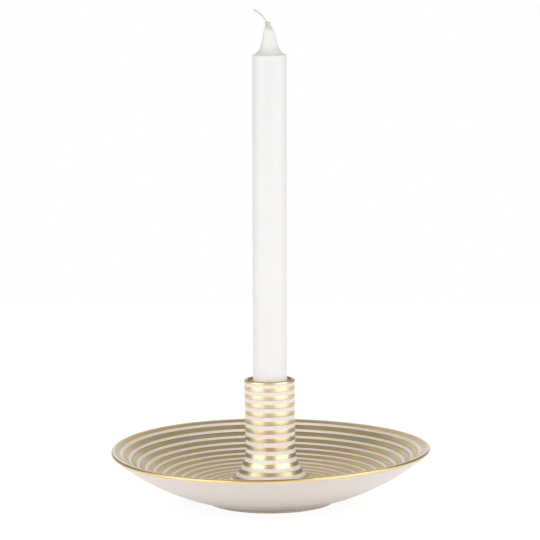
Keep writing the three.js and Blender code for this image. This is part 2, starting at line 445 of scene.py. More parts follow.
def wheel_tree():
    inputs = {"Profile": (SHAPE, None), "Sides": (WHOLE, 96), "Finish": (FINISH, None)}
    tree, given, result = open_group("wheel", "GeometryNodeTree", inputs, {"Piece": SHAPE})
    count = add(tree, "GeometryNodeAttributeDomainSize", {0: given["Profile"]}).outputs["Point Count"]
    columns = plus(tree, given["Sides"], 1.0)
    grid = add(tree, "GeometryNodeMeshGrid", {0: 1.0, 1: 1.0, 2: columns, 3: count}).outputs["Mesh"]
    x, y, _ = axes(tree, add(tree, "GeometryNodeInputPosition").outputs[0])
    last = minus(tree, count, 1.0)
    row = maths(tree, "ROUND", times(tree, plus(tree, y, 0.5), last))
    radius, height = profile_point(tree, given["Profile"], row)
    angle = times(tree, x, math.tau)
    placed = add(tree, "GeometryNodeSetPosition", {0: grid, "Position": spun(tree, radius, angle, height)})
    merged = add(tree, "GeometryNodeMergeByDistance", {0: placed.outputs[0], "Distance": SAME_POINT})
    smooth = add(tree, "GeometryNodeSetShadeSmooth", {0: merged.outputs[0]})
    dress(tree, smooth.outputs[0], given, result)
    return tree


def point_row(name, points):
    """A profile as a mesh of points, one after the other."""
    mesh = bpy.data.meshes.new(name)
    places = [(radius, 0.0, height) for radius, height in points]
    mesh.from_pydata(places, [(i, i + 1) for i in range(len(places) - 1)], [])
    return mesh


def made_by(tree, name, points, **sizes):
    """Runs a tree on a profile and keeps its result as a plain mesh object."""
    start = bpy.data.objects.new(name + "_profile", point_row(name + "_profile", points))
    bpy.context.scene.collection.objects.link(start)
    modifier = start.modifiers.new(tree.name, "NODES")
    modifier.node_group = tree
    for item in tree.interface.items_tree:
        if item.in_out == "INPUT" and item.name in sizes:
            modifier[item.identifier] = sizes[item.name]
    graph = bpy.context.evaluated_depsgraph_get()
    mesh = bpy.data.meshes.new_from_object(start.evaluated_get(graph))
    bpy.data.objects.remove(start)
    mesh.name = name
    piece = bpy.data.objects.new(name, mesh)
    bpy.context.scene.collection.objects.link(piece)
    print(name, "has", len(mesh.vertices), "points and", len(mesh.polygons), "faces")
    return piece


WHEEL = wheel_tree()
print("the tree", WHEEL.name, "has", len(WHEEL.nodes), "nodes")

# %% [markdown]
# A profile is drawn as a turner would: straight stretches with their corners eased, and arcs that run
# into each other without a kink. Two arcs touch smoothly when their centres and the point where they meet
# are in one line, so the centre of the next arc can be found from two distances.

# %% Drawing profiles
def arc(centre, reach, start, end, steps):
    """Points of a round stretch; reach is a radius, or two of them for an ellipse."""
    turn = np.linspace(start, end, steps + 1)
    return np.asarray(centre) + np.stack([np.cos(turn), np.sin(turn)], 1) * reach


def angle_at(centre, point):
    """The direction from a centre to a point of the profile."""
    return math.atan2(point[1] - centre[1], point[0] - centre[0])


def centre_from(p, reach_p, q, reach_q):
    """The upper of the two points at the given distances from p and q."""
    p, q = np.asarray(p), np.asarray(q)
    span = np.linalg.norm(q - p)
    ahead = (q - p) / span
    along = (reach_p**2 - reach_q**2 + span**2) / (2 * span)
    aside = math.sqrt(reach_p**2 - along**2)
    normal = np.array([-ahead[1], ahead[0]])
    return p + ahead * along + normal * math.copysign(aside, normal[1])


def bezier(a, b, c, d, steps):
    """Points of a curve that leaves a towards b and reaches d from c."""
    t = np.linspace(0, 1, steps + 1)[:, None]
    a, b, c, d = (np.asarray(p) for p in (a, b, c, d))
    return a * (1 - t) ** 3 + 3 * b * t * (1 - t) ** 2 + 3 * c * t**2 * (1 - t) + d * t**3


def eased(points, radius, steps=4):
    """Straight stretches with each corner between them rounded off."""
    points = [np.asarray(p, float) for p in points]
    line = [points[0]]
    for before, corner, after in zip(points, points[1:], points[2:]):
        cut = min(radius, np.linalg.norm(before - corner) / 2, np.linalg.norm(after - corner) / 2)
        start = corner + (before - corner) / np.linalg.norm(before - corner) * cut
        end = corner + (after - corner) / np.linalg.norm(after - corner) * cut
        line.extend(bezier(start, (start + 2 * corner) / 3, (end + 2 * corner) / 3, end, steps))
    return np.array([*line, points[-1]])


SQUARE_CORNER = [(0, 0), (1, 0), (1, 1)]
print("a square corner, eased, has", len(eased(SQUARE_CORNER, 0.1)), "points")

# %% [markdown]
# The dish is an arc outside and a slack S inside, which both run smoothly into a small round lip, so its
# wall thins a little towards the rim as a thrown wall does. The S bends over into a narrow shoulder just
# inside the lip. The dish stands on a foot ring with a shallow recess inside, and a vent hole under the
# hollow stem lets the air out in the kiln.

# %% The dish
RIM_RADIUS = dish_high.x
RIM_HEIGHT = dish_high.z
LIP_ROUND = 1.3 * MM
UNDERSIDE_ARC = 148 * MM
WELL_PULL = 28 * MM
WALL_PULL = 13 * MM
WALL_SLOPE = 0.71
SHOULDER_TILT = math.radians(20)
SHOULDER_IN = 5.7 * MM
SHOULDER_DROP = 1.55 * MM
SHOULDER_PULL = 0.6 * MM
LEDGE_PULL = 1.3 * MM
FLOOR_HEIGHT = socket_low.z
SEAT_MARGIN = 0.3 * MM
SEAT_RADIUS = socket_high.x + SEAT_MARGIN
FOOT_RADIUS = 40.9 * MM
FOOT_TOP = (41.9 * MM, 1.9 * MM)
FOOT_INSIDE = 35.9 * MM
RECESS_HEIGHT = 2.2 * MM
VENT_RADIUS = 3 * MM
WORN_EDGE = 0.5 * MM
PLATE_SIDES = 224
UNDERSIDE_STEPS = 48
FOOT_MEETS = 2
LIP_STEPS = 16
LEDGE_STEPS = 12
WALL_STEPS = 56

LIP = np.array([RIM_RADIUS - LIP_ROUND, RIM_HEIGHT - LIP_ROUND])
SEAT = np.array([SEAT_RADIUS, FLOOR_HEIGHT])
SHOULDER = np.array([RIM_RADIUS - SHOULDER_IN, RIM_HEIGHT - SHOULDER_DROP])
UNDER = centre_from(FOOT_TOP, UNDERSIDE_ARC, LIP, UNDERSIDE_ARC - LIP_ROUND)
lip_start = angle_at(UNDER, LIP)
outside = arc(UNDER, UNDERSIDE_ARC, angle_at(UNDER, FOOT_TOP), lip_start, UNDERSIDE_STEPS)
lip_edge = arc(LIP, LIP_ROUND, lip_start, math.pi / 2 + SHOULDER_TILT, LIP_STEPS)
lip_end = lip_edge[-1]
ledge_way = np.array([math.cos(SHOULDER_TILT), math.sin(SHOULDER_TILT)])
wall_way = np.array([1, WALL_SLOPE])
ledge_pull = lip_end - LEDGE_PULL * ledge_way
ledge = bezier(lip_end, ledge_pull, SHOULDER + SHOULDER_PULL * wall_way, SHOULDER, LEDGE_STEPS)
wall = bezier(SHOULDER, SHOULDER - WALL_PULL * wall_way, SEAT + (WELL_PULL, 0), SEAT, WALL_STEPS)
inside = np.concatenate([ledge, wall[1:]])

foot = eased(
    [
        (VENT_RADIUS, FLOOR_HEIGHT),
        (VENT_RADIUS, RECESS_HEIGHT),
        (FOOT_INSIDE - RECESS_HEIGHT, RECESS_HEIGHT),
        (FOOT_INSIDE, 0),
        (FOOT_RADIUS, 0),
        FOOT_TOP,
        outside[FOOT_MEETS],
    ],
    WORN_EDGE,
)
middle = [(VENT_RADIUS, FLOOR_HEIGHT)]
dish_outline = np.concatenate([foot, outside[FOOT_MEETS + 1 :], lip_edge[1:], inside[1:], middle])
dish = made_by(WHEEL, "stoneware_dish", dish_outline, Sides=PLATE_SIDES, Finish=GLAZE)

# %% [markdown]
# The socket is a slim stem that flares out over the dish in a quarter of an ellipse, and is hollow from
# below so that it dries and fires evenly. Its mouth has a round lip, and the bore narrows down to the
# candle's foot, so a candle that is a little thick or thin still wedges tight.

# %% The candle socket
STEM_RADIUS = 15.85 * MM
FLARE_HEIGHT = 24 * MM
BASE_RADIUS = socket_high.x
BASE_EDGE = 0.6 * MM
SOCKET_TOP = socket_high.z
MOUTH_RADIUS = 16.3 * MM
MOUTH_WALL = 2.4 * MM
CANDLE_SEAT = candle_low.z
SOCKET_FLOOR = 4.5 * MM
STEM_WALL = 4.2 * MM
CANDLE_FIT = 0.3 * MM
BORE_RADIUS = candle_high.x + CANDLE_FIT
STEM_SIDES = 160
FLARE_STEPS = 40
STEM_STEPS = 12

flare_top = FLOOR_HEIGHT + BASE_EDGE + FLARE_HEIGHT
mouth = (MOUTH_RADIUS - MOUTH_WALL / 2, SOCKET_TOP - MOUTH_WALL / 2)
hollow_top = CANDLE_SEAT - SOCKET_FLOOR
hollow = STEM_RADIUS - STEM_WALL
flare_reach = (BASE_RADIUS - STEM_RADIUS, FLARE_HEIGHT)
flare = arc((BASE_RADIUS, flare_top), flare_reach, -math.pi / 2, -math.pi, FLARE_STEPS)
mouth_edge = arc(mouth, MOUTH_WALL / 2, 0, math.pi, LIP_STEPS)
below = eased(
    [
        (0, hollow_top),
        (hollow, hollow_top),
        (hollow, FLOOR_HEIGHT),
        (BASE_RADIUS, FLOOR_HEIGHT),
        flare[0],
    ],
    WORN_EDGE,
)
bore = eased([mouth_edge[-1], (BORE_RADIUS, CANDLE_SEAT), (0, CANDLE_SEAT)], WORN_EDGE)
stem_rise = np.linspace(flare[-1], mouth_edge[0], STEM_STEPS)[1:-1]
socket_outline = np.concatenate([below[:-1], flare, stem_rise, mouth_edge, bore[1:]])
socket = made_by(WHEEL, "stoneware_candle_socket", socket_outline, Sides=STEM_SIDES, Finish=GLAZE)

# %% [markdown]
# The gold bands repeat at a steady step and follow the turned surface, so a second tree makes them. It
# takes a ruled profile, whose points stand at even steps of a ruler, and copies one narrow grid for each
# band. A point's place on the ruler is the band's middle, plus how far across the band it is, plus a slow
# waver for the hand that held the brush. Each band is a thin lens: one skin a few hundredths of a
# millimetre above the glaze and one below it, sewn together at the edges, so that the film is closed. The
# sewn edges are shaded as crisp ones, because a smooth edge would show as a dark outline.

# %% A tree that paints bands
RUB_FADE = 0.15
BAND_NOISE_STEP = 3.7
EDGE_NOISE_STEP = 0.8
NOISE_RADIUS = 1.4
LENS_FULLNESS = 0.3
SEAM_BULGE = 0.01
SEWN = 0.0005 * MM


def ruler_place(tree, given, angle, across, band):
    """How many steps along the ruler a point of a band is, with the hand's waver."""
    row = maths(tree, "MULTIPLY_ADD", band, BAND_NOISE_STEP, given["Seed"])
    edge = maths(tree, "MULTIPLY_ADD", across, EDGE_NOISE_STEP, row)
    values = {"Vector": spun(tree, NOISE_RADIUS, angle, edge), "Scale": 1.0, "Detail": 1.0}
    hand = add(tree, "ShaderNodeTexNoise", values).outputs[0]
    waver = times(tree, minus(tree, hand, 0.5), given["Waver"])
    middle_of_band = maths(tree, "MULTIPLY_ADD", band, given["Pitch"], given["First"])
    beside = times(tree, minus(tree, across, 0.5), given["Width"])
    length = plus(tree, plus(tree, middle_of_band, beside), waver)
    return divided(tree, length, given["Step"])


def lens_skins(tree, given, strips, angle, ruler, bulge):
    """Two skins of each band, one just above the surface and one just below it."""
    whole = maths(tree, "FLOOR", ruler)
    rest = minus(tree, ruler, whole)
    r0, z0 = profile_point(tree, given["Profile"], whole)
    r1, z1 = profile_point(tree, given["Profile"], plus(tree, whole, 1.0))
    run = minus(tree, r1, r0)
    rise = minus(tree, z1, z0)
    length = hypotenuse(tree, run, rise)
    fullness = maths(tree, "POWER", larger(tree, bulge, 0.0), LENS_FULLNESS)
    lift = times(tree, fullness, given["Lift"])
    radius = maths(tree, "MULTIPLY_ADD", run, rest, r0)
    height = maths(tree, "MULTIPLY_ADD", rise, rest, z0)
    joined = add(tree, "GeometryNodeJoinGeometry")
    for side in (1.0, -1.0):
        share = times(tree, divided(tree, lift, length), side)
        r = minus(tree, radius, times(tree, rise, share))
        z = maths(tree, "MULTIPLY_ADD", run, share, height)
        values = {0: strips, "Position": spun(tree, r, angle, z)}
        skin = add(tree, "GeometryNodeSetPosition", values).outputs[0]
        if side > 0:
            skin = add(tree, "GeometryNodeFlipFaces", {0: skin}).outputs[0]
        tree.links.new(skin, joined.inputs[0])
    return joined.outputs[0]


def band_tree():
    inputs = {
        "Profile": (SHAPE, None),
        "Step": (NUMBER, 0.25 * MM),
        "First": (NUMBER, 0.0),
        "Pitch": (NUMBER, 5 * MM),
        "Count": (WHOLE, 1),
        "Width": (NUMBER, 3 * MM),
        "Waver": (NUMBER, 0.2 * MM),
        "Lift": (NUMBER, 0.04 * MM),
        "Worn": (NUMBER, 0.0),
        "Dragged": (NUMBER, 0.0),
        "Seed": (NUMBER, 0.0),
        "Rows": (WHOLE, 9),
        "Sides": (WHOLE, 96),
        "Finish": (FINISH, None),
    }
    tree, given, result = open_group("bands", "GeometryNodeTree", inputs, {"Bands": SHAPE})

    def mark(geometry, name, value, domain="POINT"):
        """Stores a value under a name."""
        stored = {0: geometry, "Name": name, "Value": value}
        node = add(tree, "GeometryNodeStoreNamedAttribute", stored, data_type="FLOAT", domain=domain)
        return node.outputs[0]

    def marked(name):
        """Reads a stored value back."""
        return add(tree, "GeometryNodeInputNamedAttribute", {"Name": name}, data_type="FLOAT").outputs[0]

    columns = plus(tree, given["Sides"], 1.0)
    size = {0: 1.0, 1: 1.0, 2: columns, 3: given["Rows"]}
    grid = add(tree, "GeometryNodeMeshGrid", size).outputs["Mesh"]
    single = add(tree, "GeometryNodeGeometryToInstance", {0: grid}).outputs[0]
    amount = {0: single, "Amount": given["Count"]}
    copies = add(tree, "GeometryNodeDuplicateElements", amount, domain="INSTANCE")
    numbered = mark(copies.outputs[0], "band", copies.outputs["Duplicate Index"], "INSTANCE")
    strips = add(tree, "GeometryNodeRealizeInstances", {0: numbered}).outputs[0]
    x, y, _ = axes(tree, add(tree, "GeometryNodeInputPosition").outputs[0])
    angle = times(tree, x, math.tau)
    strips = mark(strips, "across", plus(tree, y, 0.5))
    across = marked("across")
    rubbed = divided(tree, minus(tree, given["Worn"], across), RUB_FADE)
    strips = mark(strips, "worn", add(tree, "ShaderNodeClamp", {0: rubbed}).outputs[0])
    # Whether a band may carry the painted shade lines.
    strips = mark(strips, "painted_shade_lines", given["Dragged"])

    ruler = ruler_place(tree, given, angle, across, marked("band"))
    to_far_edge = minus(tree, 1.0, across)
    bulge = times(tree, times(tree, across, to_far_edge), 4.0)
    skins = lens_skins(tree, given, strips, angle, ruler, bulge)
    sewn = add(tree, "GeometryNodeMergeByDistance", {0: skins, "Distance": SEWN})
    smooth = add(tree, "GeometryNodeSetShadeSmooth", {0: sewn.outputs[0]})
    seam = maths(tree, "LESS_THAN", bulge, SEAM_BULGE)
    sharp = {0: smooth.outputs[0], "Selection": seam, "Shade Smooth": False}
    crisp = add(tree, "GeometryNodeSetShadeSmooth", sharp, domain="EDGE")
    dress(tree, crisp.outputs[0], given, result)
    return tree


BANDS = band_tree()
print("the tree", BANDS.name, "has", len(BANDS.nodes), "nodes")

# %% [markdown]
# A ruled profile is the drawn one with its points moved to even steps, so that the tree finds a place on
# it by counting. What the ruler measures can be chosen for each set of bands.

# %% Ruling a profile
RULE = 0.2 * MM
GOLD_FILM = 0.05 * MM


def ruled(points, ruler):
    """A profile's points at even steps of a ruler, which gives each drawn point's place on it."""
    places = np.arange(ruler[0], ruler[-1], RULE)
    return np.stack([np.interp(places, ruler, points[:, 0]), np.interp(places, ruler, points[:, 1])], 1)


def walked(points):
    """How far along a profile each of its points is."""
    return np.concatenate([[0.0], np.cumsum(np.linalg.norm(np.diff(points, axis=0), axis=1))])


def gold_bands(name, profile, sides, **sizes):
    """Paints one band, or a row of them, on a ruled profile."""
    return made_by(BANDS, name, profile, Step=RULE, Lift=GOLD_FILM, Sides=sides, Finish=GOLD, **sizes)


print("the inside of the dish is", round(walked(inside)[-1] / MM, 1), "mm long from lip to socket")

# %% [markdown]
# Inside the dish the painter moved the brush out from the middle by the same distance for each band, so
# the ruler is the radius. The last of these bands stops just short of the shoulder below the lip.

# %% Bands inside the dish
WELL_PITCH = 5.28 * MM
WELL_GOLD = 3.25 * MM
WELL_LAST = 93.08 * MM
WELL_COUNT = 11
FREE_WAVER = 0.35 * MM

inner = np.concatenate([inside[::-1], lip_edge[::-1][1 : LIP_STEPS // 2 + 1]])
from_middle = ruled(inner, inner[:, 0])
innermost = WELL_LAST - (WELL_COUNT - 1) * WELL_PITCH
# The dish's bands carry the painted shade lines along their edges.
well_bands = gold_bands(
    "gold_bands_in_dish", from_middle, PLATE_SIDES, First=innermost - inner[0, 0], Pitch=WELL_PITCH,
    Count=WELL_COUNT, Width=WELL_GOLD, Waver=FREE_WAVER, Dragged=1.0, Seed=1.0,
)

# %% [markdown]
# Two more bands follow the rim: one on the inner shoulder of the lip, and one that wraps its outer edge.
# A white line of glaze is left between them on the very top. The upper part of the edge band is rubbed
# thin.

# %% Bands on the rim
SHOULDER_GOLD = 3.5 * MM
SHOULDER_MIDDLE = 98.35 * MM
SHOULDER_WAVER = 0.2 * MM
EDGE_GOLD = 3.5 * MM
EDGE_START = 0.55 * MM
EDGE_WORN = 0.54
EDGE_WAVER = 0.25 * MM
EDGE_STEPS = 24
EDGE_REACH = 12

shoulder_band = gold_bands(
    "gold_band_on_shoulder", from_middle, PLATE_SIDES, First=SHOULDER_MIDDLE - inner[0, 0],
    Width=SHOULDER_GOLD, Waver=SHOULDER_WAVER, Seed=2.0,
)
top_of_lip = arc(LIP, LIP_ROUND, math.pi / 2, lip_start, EDGE_STEPS)
outer = np.concatenate([top_of_lip, outside[::-1][1:EDGE_REACH]])
edge_band = gold_bands(
    "gold_band_on_edge", ruled(outer, walked(outer)), PLATE_SIDES, First=EDGE_START + EDGE_GOLD / 2,
    Width=EDGE_GOLD, Waver=EDGE_WAVER, Worn=EDGE_WORN, Seed=3.0, Rows=21,
)

# %% [markdown]
# Up the stem the ruler is the way along the surface, from the mouth down, because the brush followed the
# flare. The first steps are a little longer than the rest, so the ruler lags there. The mouth's lip has a
# band of its own, which reaches into the bore and is rubbed thin on the inner side.

# %% Bands on the stem
STEM_PITCH = 5.53 * MM
STEM_GOLD = 2.75 * MM
STEM_FIRST_HEIGHT = 74.9 * MM
STEM_COUNT = 14
MOUTH_GOLD = 5.0 * MM
MOUTH_START = 2.6 * MM
MOUTH_WORN = 0.727
BORE_PARTS = 8
OUTER_SIDE = 12
LONG_STEP = 0.5 * MM
LONG_REACH = 7.3 * MM

down_bore = np.linspace(mouth_edge[-1], (BORE_RADIUS, CANDLE_SEAT), BORE_PARTS + 1)[:2]
face = np.concatenate([down_bore[::-1], mouth_edge[::-1][1:], stem_rise[::-1], flare[::-1]])
along = walked(face)
first = np.interp(-STEM_FIRST_HEIGHT, -face[OUTER_SIDE:, 1], along[OUTER_SIDE:])
lagging = along - LONG_STEP * np.exp(-(((along - first) / LONG_REACH) ** 2))
stem_bands = gold_bands(
    "gold_bands_on_stem", ruled(face, lagging - lagging[0]), STEM_SIDES, First=first - lagging[0],
    Pitch=STEM_PITCH, Count=STEM_COUNT, Width=STEM_GOLD, Waver=FREE_WAVER, Seed=4.0,
)
mouth_band = gold_bands(
    "gold_band_on_mouth", ruled(face, along), STEM_SIDES, First=MOUTH_START + MOUTH_GOLD / 2,
    Width=MOUTH_GOLD, Waver=EDGE_WAVER, Worn=MOUTH_WORN, Seed=5.0, Rows=41,
)

# %% [markdown]
# Nothing that comes out of a kiln is quite true. The dish has warped into a very shallow saddle and leans
# a little, by about a millimetre at the rim. The mouth was cut a little low and out of level, and the
# stem was luted on a hair off upright. All of these are rules that move points, and the gold follows,
# because it was painted on after the clay had moved.

# %% What the kiln did
SADDLE = 0.85 * MM
RIM_LEAN = 0.6 * MM
STEM_LEAN = math.radians(-0.4)
CUT_FROM = 66 * MM
CUT_DEPTH = 0.5 * MM
CUT_RIGHT = -0.005
CUT_BACK = 0.027


def reshape(piece, rule):
    """Moves every point of a piece by a rule."""
    points = np.zeros(len(piece.data.vertices) * 3)
    piece.data.vertices.foreach_get("co", points)
    piece.data.vertices.foreach_set("co", rule(points.reshape(-1, 3)).ravel())
    piece.data.update()


def saddle(points):
    """Lifts two opposite quarters of the rim, lowers the other two, and tips the whole to one side."""
    x, y, z = points.T
    out = np.clip((np.hypot(x, y) - FOOT_RADIUS) / (RIM_RADIUS - FOOT_RADIUS), 0, None)
    angle = np.arctan2(y, x)
    warp = RIM_LEAN * np.cos(angle) - SADDLE * np.sin(2 * angle)
    return np.stack([x, y, z + out * warp], 1)


def lean_from(height, angle):
    """A rule that tilts what stands above a height to one side."""
    def tilt(points):
        x, y, z = points.T
        return np.stack([x + math.tan(angle) * np.maximum(z - height, 0), y, z], 1)
    return tilt


def cut_mouth(points):
    """Lowers the top of the stem, most at the back."""
    x, y, z = points.T
    share = np.clip((z - CUT_FROM) / (SOCKET_TOP - CUT_FROM), 0, 1)
    return np.stack([x, y, z - share * (CUT_DEPTH + CUT_RIGHT * x + CUT_BACK * y)], 1)


for piece in (dish, well_bands, shoulder_band, edge_band):
    reshape(piece, saddle)
for piece in (socket, stem_bands, mouth_band):
    reshape(piece, cut_mouth)
    reshape(piece, lean_from(FLOOR_HEIGHT, STEM_LEAN))
stem_offset = math.tan(STEM_LEAN) * (SOCKET_TOP - FLOOR_HEIGHT)
print("the mouth stands", round(stem_offset / MM, 2), "mm off the axis of the dish")

# %% [markdown]
# The candle was dipped, so it is a straight stick with a crisp shoulder, and its tip is drawn in by the
# last dips into a hollow-cheeked point that creeps up the wick. It is turned like the clay, and then its
# tip is bent to one side and given beads of wax, because no dipped tip is ever true.

# %% The candle
CANDLE_RADIUS = candle_high.x
CANDLE_TOP = candle_high.z
TIP_HEIGHT = 17.7 * MM
SHOULDER_ROUND = 0.8 * MM
CHEEK_RADIUS = 5.1 * MM
CHEEK_LOW = 3 * MM
CHEEK_HIGH = 9 * MM
NECK_RADIUS = 3.2 * MM
NECK_DROP = 1.6 * MM
CREEP = 3.4 * MM
CREEP_RADIUS = 1.15 * MM
CREEP_FROM = (2.7 * MM, CANDLE_TOP)
CREEP_TO = (1.3 * MM, CANDLE_TOP + 0.6 * MM)
CAP_RADIUS = 0.5 * MM
CAP_EDGE = 0.4 * MM
CAP_HEIGHT = 0.5 * MM
FOOT_STRETCH = 4 * MM
CANDLE_SIDES = 96
STICK_STEPS = 60
CORNER_STEPS = 8
CHEEK_STEPS = 32
CREEP_STEPS = 16

shoulder = CANDLE_TOP - TIP_HEIGHT
drawn_in = CANDLE_RADIUS - SHOULDER_ROUND
foot_top = (CANDLE_RADIUS, CANDLE_SEAT + FOOT_STRETCH)
base = eased([(0, CANDLE_SEAT), (CANDLE_RADIUS, CANDLE_SEAT), foot_top], WORN_EDGE)
stick = np.linspace(base[-1], (CANDLE_RADIUS, shoulder), STICK_STEPS)[1:-1]
corner = arc((drawn_in, shoulder), SHOULDER_ROUND, 0, math.pi / 2, CORNER_STEPS)
neck = (NECK_RADIUS, CANDLE_TOP - NECK_DROP)
low_pull = (CHEEK_RADIUS, shoulder + CHEEK_LOW)
high_pull = (CHEEK_RADIUS, shoulder + CHEEK_HIGH)
cheek = bezier(corner[-1], low_pull, high_pull, neck, CHEEK_STEPS)
creep_top = CANDLE_TOP + CREEP
creep = bezier(neck, CREEP_FROM, CREEP_TO, (CREEP_RADIUS, creep_top), CREEP_STEPS)
cap = [(CAP_RADIUS, creep_top + CAP_EDGE), (0, creep_top + CAP_HEIGHT)]
candle_outline = np.concatenate([base[:-1], stick, corner, cheek[1:], creep[1:], cap])
candle = made_by(WHEEL, "wax_candle", candle_outline, Sides=CANDLE_SIDES, Finish=WAX)

# %% [markdown]
# The bend is a shift to one side that grows towards the top, and a bead is a small swelling that fades
# out round its middle. Both are plain sums on the points, which is what sculpting by hand comes down to.

# %% Bend the tip and bead the wax
BEND_FROM = CANDLE_TOP - 8 * MM
BEND_REACH = 1.0 * MM
BEND_POWER = 1.3
# Place, swelling and spread of each bead.
BEADS = (
    ((-1.9 * MM, -0.5 * MM, CANDLE_TOP + 3.0 * MM), 1.3 * MM, 1.0 * MM),
    ((0.2 * MM, -0.8 * MM, CANDLE_TOP + 3.4 * MM), 0.9 * MM, 1.0 * MM),
    ((2.6 * MM, -2.4 * MM, shoulder + 8 * MM), 0.25 * MM, 2.0 * MM),
)


def tip_bend(height):
    """How far the tip has gone to the left at a height."""
    share = np.clip((height - BEND_FROM) / (creep_top - BEND_FROM), 0, None)
    return -BEND_REACH * share**BEND_POWER


def tip_shape(points):
    """Bends the tip and swells the beads."""
    points[:, 0] += tip_bend(points[:, 2])
    for place, swell, spread in BEADS:
        away = points - np.array(place)
        near = np.exp(-((np.linalg.norm(away, axis=1) / spread) ** 2))
        out = points - np.stack([tip_bend(points[:, 2]), 0 * points[:, 1], points[:, 2]], 1)
        reach = np.maximum(np.linalg.norm(out, axis=1, keepdims=True), 1e-9)
        points += out / reach * (near * swell)[:, None]
    return points


reshape(candle, tip_shape)
print("candle tip bends", round(-tip_bend(creep_top) / MM, 2), "mm to the left")

# %% [markdown]
# The wick is a flat braid of three yarns. Each yarn swings from side to side once in the time that it
# goes over and under twice, and the three are a third of a swing apart, which is all that a braid is. A
# tree copies the wick's middle line three times, swings each copy by that rule and gives it a round
# section.

# %% A tree that braids
SECTION_SIDES = 8
FLATNESS = 0.6


def braid_tree():
    inputs = {
        "Line": (SHAPE, None),
        "Yarns": (WHOLE, 3),
        "Lay": (NUMBER, 3 * MM),
        "Swing": (NUMBER, 0.4 * MM),
        "Thickness": (NUMBER, 0.4 * MM),
        "Spacing": (NUMBER, 0.4 * MM),
        "Finish": (FINISH, None),
    }
    tree, given, result = open_group("braid", "GeometryNodeTree", inputs, {"Braid": SHAPE})
    line = add(tree, "GeometryNodeMeshToCurve", {0: given["Line"]}).outputs[0]
    spaced = {"Curve": line, "Length": given["Spacing"]}
    even = add(tree, "GeometryNodeResampleCurve", spaced, mode="LENGTH").outputs[0]
    amount = {0: even, "Amount": given["Yarns"]}
    yarns = add(tree, "GeometryNodeDuplicateElements", amount, domain="SPLINE")
    share = divided(tree, yarns.outputs["Duplicate Index"], given["Yarns"])
    walk = add(tree, "GeometryNodeSplineParameter").outputs["Length"]
    lays = plus(tree, divided(tree, walk, given["Lay"]), share)
    turn = times(tree, lays, math.tau)
    aside = times(tree, maths(tree, "SINE", turn), given["Swing"])
    twice = maths(tree, "SINE", times(tree, turn, 2.0))
    over = times(tree, times(tree, twice, given["Swing"]), FLATNESS)

    def vector(operation, **values):
        """One Vector Math node, with its sockets named a, b or Scale."""
        sockets = {{"a": 0, "b": 1}.get(name, name): value for name, value in values.items()}
        return add(tree, "ShaderNodeVectorMath", sockets, operation=operation).outputs[0]

    normal = add(tree, "GeometryNodeInputNormal").outputs[0]
    tangent = add(tree, "GeometryNodeInputTangent").outputs[0]
    cross = vector("CROSS_PRODUCT", a=normal, b=tangent)
    sideways = vector("SCALE", a=normal, Scale=aside)
    outwards = vector("SCALE", a=cross, Scale=over)
    offset = vector("ADD", a=sideways, b=outwards)
    swung = add(tree, "GeometryNodeSetPosition", {0: yarns.outputs[0], "Offset": offset}).outputs[0]
    ring = {"Resolution": SECTION_SIDES, "Radius": given["Thickness"]}
    section = add(tree, "GeometryNodeCurvePrimitiveCircle", ring).outputs[0]
    tube = add(tree, "GeometryNodeCurveToMesh", {0: swung, 1: section, "Fill Caps": True}).outputs[0]
    smooth = add(tree, "GeometryNodeSetShadeSmooth", {0: tube}).outputs[0]
    dress(tree, smooth, given, result)
    return tree


BRAID = braid_tree()
print("the tree", BRAID.name, "has", len(BRAID.nodes), "nodes")

# %% [markdown]
# The wick's middle line runs straight up through the wax, and above the tip it leans over to the left in
# one slow curve, as a wick does that was bent by a thumb.

# %% The wick
WICK_START = (0, CANDLE_SEAT + 1 * MM)
WICK_LEAVES = (0, CANDLE_TOP - 5 * MM)
WICK_RISES = (-0.5 * MM, CANDLE_TOP + 3.5 * MM)
WICK_TURNS = (-3.2 * MM, CANDLE_TOP + 8 * MM)
WICK_END = (wick_low.x + 0.3 * MM, wick_high.z + 0.2 * MM)
STRAIGHT_STEPS = 80
BEND_STEPS = 40

straight = np.linspace(WICK_START, WICK_LEAVES, STRAIGHT_STEPS)
bent = bezier(WICK_LEAVES, WICK_RISES, WICK_TURNS, WICK_END, BEND_STEPS)
wick_line = np.concatenate([straight, bent[1:]])
wick = made_by(
    BRAID, "braided_wick", wick_line, Yarns=3, Lay=4.2 * MM, Swing=0.27 * MM, Thickness=0.4 * MM,
    Spacing=0.4 * MM, Finish=COTTON,
)

# %% [markdown]
# A candle that someone has pressed into a socket never stands quite in line with it. This one's foot
# follows the leaning bore, and from there it leans back the other way, well within the room that the
# mouth leaves.

# %% Stand the candle in its socket
CANDLE_LEAN = math.radians(0.27)
foot_offset = math.tan(STEM_LEAN) * (CANDLE_SEAT - FLOOR_HEIGHT)


def stand(points):
    """Shifts the candle's foot on to the bore, and leans the rest."""
    return lean_from(CANDLE_SEAT, CANDLE_LEAN)(points) + np.array([foot_offset, 0, 0])


for piece in (candle, wick):
    reshape(piece, stand)
print("candle's foot moves", round(foot_offset / MM, 2), "mm with the bore")

# %% [markdown]
# Each piece now says which part of the frame carries it. Clay and gold ride on the holder, wax and wick
# on the candle, and the turned pieces stand for the plain solids of the frame.

# %% Seat the pieces on the frame
for piece, node, slot in (
    (dish, "dish", "white_glaze"),
    (socket, "candle_socket", "white_glaze"),
    (candle, "candle", "candle_wax"),
    (wick, "wick", "wick_cotton"),
):
    body = "candle" if node in ("candle", "wick") else "holder"
    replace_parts(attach(piece, body), node)
for piece in (well_bands, shoulder_band, edge_band, stem_bands, mouth_band):
    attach(piece, "holder")

# %% [markdown]
# The picture has a pure white ground. The floor is a pale plane that catches the plate's shadow. What the
# camera, and anything shiny, sees of it is lifted to white, but light that bounces off it on to the plate
# is left as it is, so the plate isn't lit by a glowing table.

